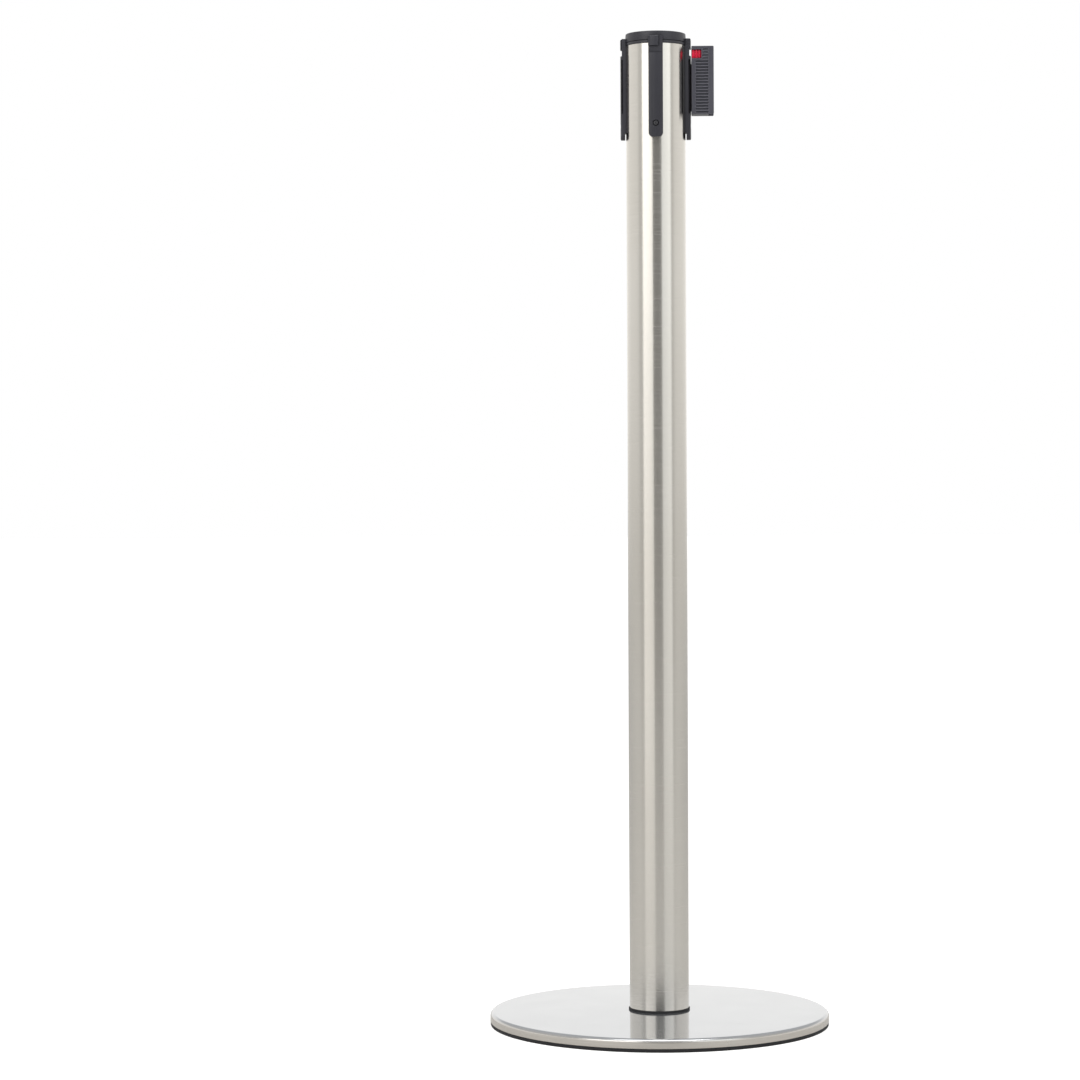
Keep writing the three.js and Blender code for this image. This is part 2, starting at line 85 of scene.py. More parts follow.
TUBE_R = TUBE_HIGH.y
TUBE_WALL = 2 * MM
BASE_R = COVER_HIGH.x
SEAT = COVER_HIGH.z
CROWN = 1.3 * MM
BASE_TOP = SEAT - CROWN              # top of the dish at its rim
RAIL_HALF = RAIL_HIGH.x
RAIL_FACE = -RAIL_LOW.y
RAIL_OVERHANG = -RAIL_LOW.x - RAIL_HALF
SCREW_Z = (SCREW_LOW.z + SCREW_HIGH.z) / 2
CLIP_HALF = -SHELL_LOW.y
CLIP_OUT = SHELL_HIGH.x
CLIP_IN = SHELL_LOW.x + 0.2 * MM          # the nose stands 0.2 mm in front of the inner face
CLIP_LOW, CLIP_HIGH = SHELL_LOW.z, SHELL_HIGH.z
BELT_LOW, BELT_HIGH = TAIL_LOW.z, TAIL_HIGH.z
BELT_THICK = 0.5 * MM

# Features that no node's box gives, as in the CAD.
NOTCH = (1026.4 * MM, 1033.9 * MM)
NOTCH_DEPTH = 1.7 * MM
BLOCK_RIGHT = 3 * MM
GROOVE = (965.8 * MM, 1022.7 * MM)
GROOVE_LIP, GROOVE_WIDTH, GROOVE_DEPTH = 1 * MM, 1.7 * MM, 3 * MM
CHANNEL_FLOOR, CHANNEL_HALF = 55.8 * MM, 8.2 * MM
RIB_COUNT, RIB_FIRST, RIB_LAST = 22, 966.6 * MM, 1032.65 * MM
RIB_X0, RIB_X1 = 42 * MM, 55.9 * MM
RIB_HALF = 0.95 * MM
JAW_IN, JAW_LOW, JAW_HIGH = 4.9 * MM, 967.5 * MM, 1020.5 * MM
BELT_MOUTH = (BELT_LOW - 1.5 * MM, BELT_HIGH + 1.5 * MM)   # height of every opening the belt passes
PAD_END = 48.1 * MM


# ---------------------------------------------------------------- mesh helpers
def new_object(name, mesh):
    """Puts a mesh in the scene as an object."""
    obj = bpy.data.objects.new(name, mesh)
    bpy.context.scene.collection.objects.link(obj)
    return obj


def from_bmesh(name, bm):
    """Turns a bmesh into an object, with its seams closed and its faces turned outwards."""
    bmesh.ops.remove_doubles(bm, verts=bm.verts, dist=1e-7)
    bmesh.ops.recalc_face_normals(bm, faces=bm.faces)
    mesh = bpy.data.meshes.new(name)
    bm.to_mesh(mesh)
    bm.free()
    return new_object(name, mesh)


def arc(cx, cy, radius, start, end, steps):
    """Points on an arc, its angles in degrees."""
    points = []
    for i in range(steps + 1):
        a = math.radians(start + (end - start) * i / steps)
        points.append((cx + radius * math.cos(a), cy + radius * math.sin(a)))
    return points


def rounded(points, radii, steps=5):
    """A closed outline with each corner rounded to its radius."""
    out = []
    count = len(points)
    for i, corner in enumerate(points):
        radius = radii[i] if isinstance(radii, (list, tuple)) else radii
        here = Vector(corner)
        before = (Vector(points[i - 1]) - here).normalized()
        after = (Vector(points[(i + 1) % count]) - here).normalized()
        angle = before.angle(after, math.pi)
        if radius <= 0 or abs(angle - math.pi) < 1e-4:
            out.append(tuple(here))
            continue
        reach = radius / math.tan(angle / 2)
        centre = here + (before + after).normalized() * (radius / math.sin(angle / 2))
        first, last = here + before * reach - centre, here + after * reach - centre
        turn = first.angle_signed(last)
        for k in range(steps + 1):
            spoke = first.copy()
            spoke.rotate(Matrix.Rotation(-turn * k / steps, 2))
            out.append(tuple(centre + spoke))
    return out


def lathe(name, profile, segments=192, closed=True):
    """Revolves (radius, height) points about Z. An open profile starts and ends on the axis."""
    bm = bmesh.new()
    rows = []
    for r, z in profile:
        if r < 1e-9:
            rows.append([bm.verts.new((0, 0, z))])
            continue
        spokes = [2 * math.pi * k / segments for k in range(segments)]
        rows.append([bm.verts.new((r * math.cos(a), r * math.sin(a), z)) for a in spokes])
    pairs = list(zip(rows, rows[1:]))
    if closed:
        pairs.append((rows[-1], rows[0]))
    for lower, upper in pairs:
        for k in range(segments):
            n = (k + 1) % segments
            quad = [lower[k % len(lower)], lower[n % len(lower)],
                    upper[n % len(upper)], upper[k % len(upper)]]
            unique = list(dict.fromkeys(quad))
            if len(unique) > 2:
                bm.faces.new(unique)
    return from_bmesh(name, bm)


def prism(name, outline, low, high, plane="XY"):
    """Extrudes a closed outline between low and high along the axis that the plane leaves out."""
    place = {
        "XY": lambda a, b, h: (a, b, h),
        "XZ": lambda a, b, h: (a, h, b),
        "YZ": lambda a, b, h: (h, a, b),
    }[plane]
    bm = bmesh.new()
    ends = [[bm.verts.new(place(a, b, h)) for a, b in outline] for h in (low, high)]
    bm.faces.new(ends[0])
    bm.faces.new(ends[1])
    count = len(outline)
    for i in range(count):
        j = (i + 1) % count
        bm.faces.new((ends[0][i], ends[0][j], ends[1][j], ends[1][i]))
    return from_bmesh(name, bm)


def block(x0, x1, y0, y1, z0, z1):
    """A cutter or a filler with flat faces."""
    return prism("block", [(x0, y0), (x1, y0), (x1, y1), (x0, y1)], z0, z1)


def rod(radius, low, high, axis="Z", segments=48, at=(0, 0, 0)):
    """A round cutter or pin along an axis, from low to high on that axis."""
    obj = lathe("rod", [(0, low), (radius, low), (radius, high), (0, high)], segments, False)
    turn = {"Z": Matrix.Identity(4), "X": Matrix.Rotation(math.pi / 2, 4, "Y"),
            "Y": Matrix.Rotation(-math.pi / 2, 4, "X")}[axis]
    obj.data.transform(Matrix.Translation(at) @ turn)
    return obj


def applied(obj):
    """Applies the object's modifiers to its own mesh."""
    graph = bpy.context.evaluated_depsgraph_get()
    graph.update()
    mesh = bpy.data.meshes.new_from_object(obj.evaluated_get(graph), depsgraph=graph)
    obj.modifiers.clear()
    old, obj.data = obj.data, mesh
    bpy.data.meshes.remove(old)
    return obj


def boolean(obj, operation, *tools, crossing=False):
    """Applies each tool in turn. Crossing is for tools that pass through each other."""
    for tool in tools:
        step = obj.modifiers.new("boolean", "BOOLEAN")
        step.operation = operation
        step.solver = "EXACT"
        step.use_hole_tolerant = crossing
        step.use_self = crossing
        step.object = tool
        applied(obj)
        bpy.data.objects.remove(tool)
    return obj


def merged(tools):
    """One object from many tools, so that they cut in one step."""
    bm = bmesh.new()
    for tool in tools:
        bm.from_mesh(tool.data)
        bpy.data.objects.remove(tool)
    return from_bmesh("tools", bm)


def cut(obj, *tools, crossing=False):
    return boolean(obj, "DIFFERENCE", *tools, crossing=crossing)


def join(obj, *tools):
    return boolean(obj, "UNION", *tools)


def common(obj, *tools):
    return boolean(obj, "INTERSECT", *tools)


def soften(obj, width, segments=2, angle=35):
    """Rounds every edge sharper than the angle, then shades the piece."""
    merge = obj.modifiers.new("weld", "WELD")
    merge.merge_threshold = 2e-6
    bevel = obj.modifiers.new("bevel", "BEVEL")
    bevel.width = width
    bevel.segments = segments
    bevel.limit_method = "ANGLE"
    bevel.angle_limit = math.radians(angle)
    bevel.miter_outer = "MITER_ARC"
    bevel.use_clamp_overlap = True
    applied(obj)
    return shade(obj)


def welded(obj):
    """Clears the hairline steps that cutting leaves, then shades the piece."""
    bm = bmesh.new()
    bm.from_mesh(obj.data)
    bmesh.ops.remove_doubles(bm, verts=bm.verts, dist=2e-6)
    bmesh.ops.dissolve_degenerate(bm, edges=bm.edges, dist=5e-6)
    bmesh.ops.holes_fill(bm, edges=[e for e in bm.edges if e.is_boundary], sides=12)
    bm.to_mesh(obj.data)
    bm.free()
    return shade(obj)


def shade(obj, angle=40):
    """Smooth shading, broken at edges sharper than the angle."""
    obj.data.polygons.foreach_set("use_smooth", [True] * len(obj.data.polygons))
    obj.data.set_sharp_from_angle(angle=math.radians(angle))
    return obj


# ---------------------------------------------------------------- material helpers
class Surface:
    """A principled material with short calls for the nodes that its pattern needs."""

    def __init__(self, name, **values):
        self.material = bpy.data.materials.new(name)
        self.material.use_nodes = True
        self.tree = self.material.node_tree
        self.shader = self.tree.nodes["Principled BSDF"]
        for socket, value in values.items():
            self.shader.inputs[socket.replace("_", " ")].default_value = value
        self.place = self.node("ShaderNodeTexCoord").outputs["Object"]

    def node(self, kind, **settings):
        made = self.tree.nodes.new(kind)
        for key, value in settings.items():
            setattr(made, key, value)
        return made

    def link(self, source, target):
        self.tree.links.new(source, target)

    def feed(self, target, value):
        if isinstance(value, bpy.types.NodeSocket):
            self.link(value, target)
        else:
            target.default_value = value

    def scaled(self, x, y, z, vector=None):
        mapping = self.node("ShaderNodeMapping")
        mapping.inputs["Scale"].default_value = (x, y, z)
        self.link(vector or self.place, mapping.inputs["Vector"])
        return mapping.outputs["Vector"]

    def noise(self, vector, scale, detail=3, rough=0.5):
        made = self.node("ShaderNodeTexNoise")
        made.inputs["Scale"].default_value = scale
        made.inputs["Detail"].default_value = detail
        made.inputs["Roughness"].default_value = rough
        self.link(vector, made.inputs["Vector"])
        return made.outputs["Fac"]

    def cells(self, vector, scale, feature="F1", output="Distance"):
        made = self.node("ShaderNodeTexVoronoi", feature=feature)
        made.inputs["Scale"].default_value = scale
        self.link(vector, made.inputs["Vector"])
        return made.outputs[output]

    def maths(self, operation, a, b=0.0, clamp=False):
        made = self.node("ShaderNodeMath", operation=operation, use_clamp=clamp)
        self.feed(made.inputs[0], a)
        self.feed(made.inputs[1], b)
        return made.outputs[0]

    def remap(self, value, low, high, from_low=0.3, from_high=0.7):
        made = self.node("ShaderNodeMapRange")
        self.link(value, made.inputs["Value"])
        made.inputs["From Min"].default_value = from_low
        made.inputs["From Max"].default_value = from_high
        made.inputs["To Min"].default_value = low
        made.inputs["To Max"].default_value = high
        return made.outputs["Result"]

    def blend(self, factor, first, second):
        made = self.node("ShaderNodeMix", data_type="RGBA")
        self.feed(made.inputs["Factor"], factor)
        self.feed(made.inputs["A"], first)
        self.feed(made.inputs["B"], second)
        return made.outputs["Result"]

    def axes(self):
        split = self.node("ShaderNodeSeparateXYZ")
        self.link(self.place, split.inputs[0])
        return split.outputs

    def vector(self, x, y, z):
        made = self.node("ShaderNodeCombineXYZ")
        for socket, value in zip(made.inputs, (x, y, z)):
            self.feed(socket, value)
        return made.outputs[0]

    def bump(self, height, distance, strength=1.0, under=None):
        made = self.node("ShaderNodeBump")
        made.inputs["Distance"].default_value = distance
        made.inputs["Strength"].default_value = strength
        self.link(height, made.inputs["Height"])
        if under:
            self.link(under, made.inputs["Normal"])
        return made.outputs["Normal"]

    def edges(self, radius, low=0.0, high=0.12):
        """1 on edges and corners, 0 on flat faces."""
        soft = self.node("ShaderNodeBevel", samples=4)
        soft.inputs["Radius"].default_value = radius
        plain = self.node("ShaderNodeNewGeometry").outputs["Normal"]
        dot = self.node("ShaderNodeVectorMath", operation="DOT_PRODUCT")
        self.link(soft.outputs["Normal"], dot.inputs[0])
        self.link(plain, dot.inputs[1])
        away = self.maths("SUBTRACT", 1.0, dot.outputs["Value"], clamp=True)
        return self.remap(away, 0.0, 1.0, low, high)

    def painted_recess_shade(self, distance, low=0.35, high=0.95):
        """Painted shade mask from ambient occlusion: 1 deep in grooves and gaps, 0 on open faces."""
        made = self.node("ShaderNodeAmbientOcclusion", samples=6)
        made.inputs["Distance"].default_value = distance
        return self.remap(made.outputs["AO"], 1.0, 0.0, low, high)

    def set(self, socket, source):
        self.link(source, self.shader.inputs[socket])


def grey(value, warmth=0.0):
    """A grey, a little warmer or cooler than neutral."""
    return (value + warmth, value, value - warmth, 1.0)


def satin_tube():
    """Stainless tube, belt-ground round its axis: fine lines round the post."""
    s = Surface("satin_tube", Metallic=1.0, Anisotropic=0.8, Anisotropic_Rotation=0.25)
    lines = s.noise(s.scaled(24, 24, 9000), 1.0, 3, 0.5)
    broad = s.noise(s.scaled(8, 8, 700), 1.0, 2)
    cloud = s.noise(s.scaled(9, 9, 3), 1.0, 2)
    tint = s.blend(s.remap(cloud, 0.0, 1.0), (0.60, 0.575, 0.53, 1), (0.66, 0.64, 0.60, 1))
    tint = s.blend(s.remap(lines, 0.0, 0.14), tint, (0.50, 0.48, 0.44, 1))
    s.set("Base Color", tint)
    rough = s.maths("ADD", s.remap(lines, 0.21, 0.27), s.remap(broad, -0.015, 0.02))
    s.set("Roughness", rough)
    s.set("Normal", s.bump(lines, 0.001 * MM, 0.2))
    tangent = s.node("ShaderNodeTangent", direction_type="RADIAL", axis="Z")
    s.set("Tangent", tangent.outputs[0])
    return s.material


def polished_base():
    """Stainless dish: a polished top with faint spun rings, and a brushed turned-down rim whose warmer,
    lighter tint is painted reflection of the room.
    """
    s = Surface("polished_base", Metallic=0.86)
    axes = s.axes()
    squares = s.maths("ADD", s.maths("MULTIPLY", axes[0], axes[0]), s.maths("MULTIPLY", axes[1], axes[1]))
    radius = s.maths("SQRT", squares)
    along = s.vector(
        s.maths("MULTIPLY", axes[0], 9.0), s.maths("MULTIPLY", axes[1], 9.0),
        s.maths("MULTIPLY", radius, 5200.0),
    )
    rings = s.noise(along, 1.0, 4, 0.6)
    brushed = s.noise(s.scaled(20, 20, 5200), 1.0, 3)
    haze = s.noise(s.place, 22.0, 4)
    rim = s.remap(axes[2], 1.0, 0.0, BASE_TOP - 3.6 * MM, BASE_TOP - 0.6 * MM)
    # The rim's tint, warmer and lighter than the top's, is painted reflection of the room; the rim's extra
    # roughness is its brushed finish.
    top = s.blend(s.remap(haze, 0.0, 1.0), (0.445, 0.460, 0.485, 1), (0.485, 0.500, 0.525, 1))
    side = s.blend(s.remap(brushed, 0.0, 1.0), (0.50, 0.47, 0.43, 1), (0.60, 0.575, 0.535, 1))
    s.set("Base Color", s.blend(rim, top, side))
    rough = s.maths("ADD", s.remap(rings, 0.055, 0.10), s.remap(haze, -0.01, 0.02))
    s.set("Roughness", s.maths("ADD", rough, s.maths("MULTIPLY", rim, 0.20)))
    s.set("Normal", s.bump(rings, 0.003 * MM, 0.12))
    return s.material


def moulded(name, dark, light, rough, edge_wear_and_highlight_tint):
    """Moulded nylon with spark-eroded grain, a little polished on its edges. Its edges are tinted lighter:
    wear, and on the clip a painted highlight on the rib crests. Painted shade darkens its grooves and gaps.
    """
    s = Surface(name, Specular_IOR_Level=0.5)
    grain = s.cells(s.place, 2600.0)
    fine = s.noise(s.place, 4200.0, 2)
    flow = s.noise(s.scaled(60, 60, 14), 1.0, 3)
    worn = s.edges(0.35 * MM)
    tint = s.blend(s.remap(flow, 0.0, 1.0), dark, light)
    # Edge tint: wear, and for clip_plastic a painted highlight on the rib crests.
    tint = s.blend(s.maths("MULTIPLY", worn, 0.4), tint, edge_wear_and_highlight_tint)
    # Painted shade: ambient occlusion darkens grooves and gaps nearly to black and dims their specular.
    painted_shade = s.painted_recess_shade(2.2 * MM)
    s.set("Base Color", s.blend(s.maths("MULTIPLY", painted_shade, 0.85), tint, (0.006, 0.006, 0.008, 1)))
    s.set("Specular IOR Level", s.remap(painted_shade, 0.5, 0.12, 0.0, 1.0))
    ground = s.remap(flow, rough, rough + 0.08)
    s.set("Roughness", s.maths("SUBTRACT", ground, s.maths("MULTIPLY", worn, 0.08)))
    under = s.bump(grain, 0.03 * MM, 0.22)
    s.set("Normal", s.bump(fine, 0.010 * MM, 0.25, under))
    return s.material


def red_plastic():
    """Bright red acetal slide with a half gloss, duller where thumbs rub it, with painted shade in the gaps
    between its ridges.
    """
    s = Surface("red_plastic", Specular_IOR_Level=0.35, Coat_Weight=0.05, Coat_Roughness=0.15)
    flow = s.noise(s.scaled(120, 120, 40), 1.0, 3)
    fine = s.noise(s.place, 3600.0, 2)
    worn = s.edges(0.3 * MM)
    tint = s.blend(s.remap(flow, 0.0, 1.0), (0.60, 0.002, 0.030, 1), (0.72, 0.004, 0.046, 1))
    tint = s.blend(s.maths("MULTIPLY", worn, 0.2), tint, (0.86, 0.04, 0.09, 1))
    # Painted shade: ambient occlusion darkens the gaps between the ridges to a deep red.
    painted_shade = s.painted_recess_shade(1.8 * MM, 0.3, 0.85)
    s.set("Base Color", s.blend(painted_shade, tint, (0.05, 0.0, 0.004, 1)))
    s.set("Roughness", s.maths("ADD", s.remap(flow, 0.28, 0.36), s.maths("MULTIPLY", worn, 0.08)))
    s.set("Normal", s.bump(fine, 0.008 * MM, 0.3))
    return s.material


def rubber():
    """Black rubber with a fine grain and a little dust."""
    s = Surface("rubber", Specular_IOR_Level=0.35)
    grain = s.noise(s.place, 2400.0, 4, 0.65)
    dust = s.noise(s.place, 90.0, 4)
    s.set("Base Color", s.blend(s.remap(dust, 0.0, 0.6), (0.010, 0.010, 0.012, 1), (0.028, 0.028, 0.03, 1)))
    s.set("Roughness", s.remap(dust, 0.62, 0.82))
    s.set("Normal", s.bump(grain, 0.03 * MM, 0.4))
    return s.material


def black_steel():
    """Black oxide screw steel, bright where a key has rubbed it."""
    s = Surface("black_steel", Metallic=0.85)
    fine = s.noise(s.place, 3000.0, 3)
    worn = s.edges(0.25 * MM)
    rubbed = s.maths("MULTIPLY", worn, 0.5)
    s.set("Base Color", s.blend(rubbed, (0.085, 0.085, 0.092, 1), (0.34, 0.33, 0.32, 1)))
    s.set("Roughness", s.remap(fine, 0.34, 0.48))
    s.set("Normal", s.bump(fine, 0.006 * MM, 0.4))
    return s.material


def turned_metal(name, tint, other, rough, scale=2600):
    """Machined metal with fine tool lines across its axis."""
    s = Surface(name, Metallic=1.0, Anisotropic=0.4)
    lines = s.noise(s.scaled(60, 60, scale), 1.0, 3, 0.6)
    cloud = s.noise(s.place, 160.0, 3)
    s.set("Base Color", s.blend(s.remap(cloud, 0.0, 1.0), tint, other))
    s.set("Roughness", s.maths("ADD", s.remap(lines, rough, rough + 0.12), s.remap(cloud, 0.0, 0.05)))
    s.set("Normal", s.bump(lines, 0.008 * MM, 0.4))
    return s.material


def painted_plate():
    """Rolled steel disc under dark grey paint, with an orange-peel skin and small chips."""
    s = Surface("painted_plate", Specular_IOR_Level=0.5)
    peel = s.noise(s.place, 700.0, 3)
    chips = s.remap(s.noise(s.place, 210.0, 5, 0.7), 0.0, 1.0, 0.66, 0.70)
    s.set("Base Color", s.blend(chips, (0.045, 0.048, 0.052, 1), (0.16, 0.13, 0.11, 1)))
    s.set("Roughness", s.remap(peel, 0.42, 0.58))
    s.set("Normal", s.bump(peel, 0.05 * MM, 0.4))
    return s.material


def grey_plastic():
    """Grey moulded plastic of the belt cassette, grained and slightly mottled."""
    s = Surface("grey_plastic", Specular_IOR_Level=0.5)
    grain = s.cells(s.place, 1900.0)
    flow = s.noise(s.scaled(50, 50, 18), 1.0, 3)
    s.set("Base Color", s.blend(s.remap(flow, 0.0, 1.0), (0.15, 0.16, 0.165, 1), (0.19, 0.20, 0.205, 1)))
    s.set("Roughness", s.remap(flow, 0.45, 0.58))
    s.set("Normal", s.bump(grain, 0.04 * MM, 0.25))
    return s.material


def webbing(name, along):
    """Black woven polyester: warp cords along the belt, weft picks across it, in a broken twill."""
    s = Surface(name, Specular_IOR_Level=0.3, Sheen_Weight=0.25, Sheen_Roughness=0.4)
    axes = s.axes()
    length = axes[0] if along == "X" else s.maths(
        "MULTIPLY", s.maths("ARCTAN2", axes[1], axes[0]), (ROLL_HIGH.x - ROLL_LOW.x) / 2)
    across = s.maths("MULTIPLY", axes[2], 1 / (1.1 * MM))
    run = s.maths("MULTIPLY", length, 1 / (1.5 * MM))
    lane = s.maths("FLOOR", across)
    phase = s.maths("ADD", run, s.maths("MULTIPLY", lane, 0.5))
    cord = s.maths("SINE", s.maths("MULTIPLY", s.maths("FRACT", across), math.pi))
    pick = s.maths("SINE", s.maths("MULTIPLY", s.maths("FRACT", phase), math.pi))
    lift = s.maths("ADD", 0.45, s.maths("MULTIPLY", pick, 0.55))
    weave = s.maths("MULTIPLY", s.maths("POWER", cord, 0.6), lift)
    fibre = s.noise(s.scaled(5000, 5000, 1500), 1.0, 2)
    fade = s.noise(s.place, 60.0, 3)
    tint = s.blend(s.remap(weave, 0.0, 1.0, 0.1, 0.95), (0.006, 0.006, 0.007, 1), (0.030, 0.030, 0.034, 1))
    s.set("Base Color", s.blend(s.remap(fade, 0.0, 0.25), tint, (0.05, 0.05, 0.055, 1)))
    s.set("Roughness", s.remap(fibre, 0.72, 0.88))
    under = s.bump(weave, 0.16 * MM, 0.6)
    s.set("Normal", s.bump(fibre, 0.02 * MM, 0.3, under))
    return s.material


def spring_steel():
    """Drawn steel strip with a blue temper tint."""
    s = Surface("spring_steel", Metallic=1.0)
    lines = s.noise(s.scaled(200, 200, 4200), 1.0, 3)
    heat = s.noise(s.place, 70.0, 2)
    s.set("Base Color", s.blend(s.remap(heat, 0.0, 1.0), (0.12, 0.16, 0.22, 1), (0.22, 0.22, 0.22, 1)))
    s.set("Roughness", s.remap(lines, 0.24, 0.38))
    s.set("Normal", s.bump(lines, 0.006 * MM, 0.4))
    return s.material


MATERIALS = {
    "satin_steel": satin_tube(),
    "polished_base": polished_base(),
    "plain_steel": turned_metal("plain_steel", (0.50, 0.51, 0.53, 1), (0.58, 0.58, 0.58, 1), 0.26),
    "brass": turned_metal("brass", (0.62, 0.44, 0.17, 1), (0.70, 0.52, 0.24, 1), 0.24),
    "painted_steel": painted_plate(),
    "rubber": rubber(),
    "black_plastic": moulded(
        "black_plastic", (0.018, 0.018, 0.025, 1), (0.027, 0.027, 0.036, 1), 0.40, (0.07, 0.07, 0.09, 1)),
    # clip_plastic's last, pale tint is a painted highlight on its rib crests.
    "clip_plastic": moulded(
        "clip_plastic", (0.046, 0.046, 0.060, 1), (0.058, 0.058, 0.075, 1), 0.36, (0.52, 0.52, 0.60, 1)),
    "black_steel": black_steel(),
    "grey_plastic": grey_plastic(),
    "spring_steel": spring_steel(),
    "webbing": webbing("webbing", "X"),
    "webbing_roll": webbing("webbing_roll", "ROUND"),
    "red_plastic": red_plastic(),
}


# ---------------------------------------------------------------- pieces
def piece(obj, name, body, slot, nodes, finish=None):
    """Names a finished mesh, gives it its material and ties it to the frame."""
    obj.name = name
    obj.data.name = name
    obj.data.materials.clear()
    obj.data.materials.append(MATERIALS[finish or slot])
    if body:
        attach(obj, body)
    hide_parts(*nodes)
    return obj


def base_pieces():
    sheet = 1.2 * MM
    shoulder = 4.2 * MM
    low = RUBBER_HIGH.z + 0.05 * MM
    bend = BASE_TOP - shoulder
    bore = 6.3 * MM
    profile = [(BASE_R - 0.35 * MM, low), (BASE_R, low + 0.35 * MM)]
    profile += arc(BASE_R - shoulder, bend, shoulder, 0, 90, 14)
    seat_r = 34 * MM
    rim_r = BASE_R - shoulder
    cone = [(seat_r + (rim_r - seat_r) * f, SEAT - CROWN * f) for f in (0.97, 0.85, 0.6, 0.35, 0.12, 0)]
    profile += cone + [(bore, SEAT), (bore, SEAT - sheet)]
    profile += [(r, z - sheet) for r, z in reversed(cone)]
    profile += arc(BASE_R - shoulder, bend, shoulder - sheet, 90, 0, 10)
    profile += [(BASE_R - sheet, low)]
    cover = shade(lathe("cover", profile, 288))
    piece(cover, "base_dish", "post", "satin_steel", ["base_cover"], "polished_base")

    inner = 166 * MM
    edge = 0.5 * MM
    outline = [(inner, 0), (RUBBER_HIGH.x, 0), (RUBBER_HIGH.x, low), (inner, low)]
    ring = shade(lathe("rubber", rounded(outline, edge, 4), 240))
    piece(ring, "rubber_foot_ring", "post", "rubber", ["floor_ring"])

    foot = [(12 * MM, SEAT), (GASKET_HIGH.x, SEAT),
            (GASKET_HIGH.x, TUBE_LOW.z), (12 * MM, TUBE_LOW.z)]
    gasket = shade(lathe("gasket", rounded(foot, [0, 0.25 * MM, 0.7 * MM, 0], 5), 144))
    piece(gasket, "post_foot_gasket", "post", "rubber", ["foot_gasket"])


def post_tube():
    """The tube as a grid with real windows behind the rails: the belt's slot and the nuts' holes."""
    inner = TUBE_R - TUBE_WALL
    slot_half = 3 * MM
    nut_half = 3.6 * MM
    segments = 192
    angles = {2 * math.pi * k / segments for k in range(segments)}
    for half in (slot_half, nut_half):
        reach = math.asin(half / TUBE_R)
        for quarter in range(4):
            if half == nut_half or quarter == 0:
                angles |= {(quarter * math.pi / 2 + side * reach) % (2 * math.pi) for side in (-1, 1)}
    angles = sorted(angles)
    nuts = (SCREW_Z - nut_half, SCREW_Z + nut_half)
    chamfer = 0.25 * MM
    levels = [TUBE_LOW.z + chamfer, 0.2, 0.4, 0.6, 0.8, *nuts, *BELT_MOUTH, TUBE_HIGH.z - chamfer]

    def off(angle, quarter):
        """How far a direction is from the rail on that quarter, in radians."""
        return abs((angle - quarter * math.pi / 2 + math.pi) % (2 * math.pi) - math.pi)

    def is_open(angle, low, high):
        """True where the patch at this angle and between these levels is a window."""
        middle = (low + high) / 2
        by_exit = off(angle, 0) < math.asin(slot_half / TUBE_R)
        by_nut = min(off(angle, quarter) for quarter in range(4)) < math.asin(nut_half / TUBE_R)
        in_slot = BELT_MOUTH[0] < middle < BELT_MOUTH[1] and by_exit
        return in_slot or (nuts[0] < middle < nuts[1] and by_nut)

    bm = bmesh.new()
    skins = []
    for radius in (TUBE_R, inner):
        skins.append([[bm.verts.new((radius * math.cos(a), radius * math.sin(a), z)) for a in angles]
                      for z in levels])
    count = len(angles)
    for i in range(len(levels) - 1):
        for k in range(count):
            n = (k + 1) % count
            gap = (angles[n] - angles[k]) % (2 * math.pi)
            if is_open(angles[k] + gap / 2, levels[i], levels[i + 1]):
                continue
            for skin in skins:
                bm.faces.new((skin[i][k], skin[i][n], skin[i + 1][n], skin[i + 1][k]))
    partner = {}
    for outer_row, inner_row in zip(*skins):
        partner.update(zip(outer_row, inner_row))
    tube_ends = set(skins[0][0]) | set(skins[0][-1])
    window_edges = [e for e in bm.edges if len(e.link_faces) == 1
                    and all(v in partner for v in e.verts)
                    and not all(v in tube_ends for v in e.verts)]
    for edge in window_edges:
        a, b = edge.verts
        bm.faces.new((a, b, partner[b], partner[a]))
    for i, end in ((0, TUBE_LOW.z), (len(levels) - 1, TUBE_HIGH.z)):
        lips = []
        for skin, inset in zip(skins, (-chamfer, chamfer)):
            radius = (TUBE_R if skin is skins[0] else inner) + inset
            lips.append([bm.verts.new((radius * math.cos(a), radius * math.sin(a), end)) for a in angles])
        for k in range(count):
            n = (k + 1) % count
            bm.faces.new((skins[0][i][k], skins[0][i][n], lips[0][n], lips[0][k]))
            bm.faces.new((skins[1][i][k], skins[1][i][n], lips[1][n], lips[1][k]))
            bm.faces.new((lips[0][k], lips[0][n], lips[1][n], lips[1][k]))
    tube = shade(from_bmesh("tube", bm), 30)
    piece(tube, "satin_post", "post", "satin_steel", ["post_tube"])


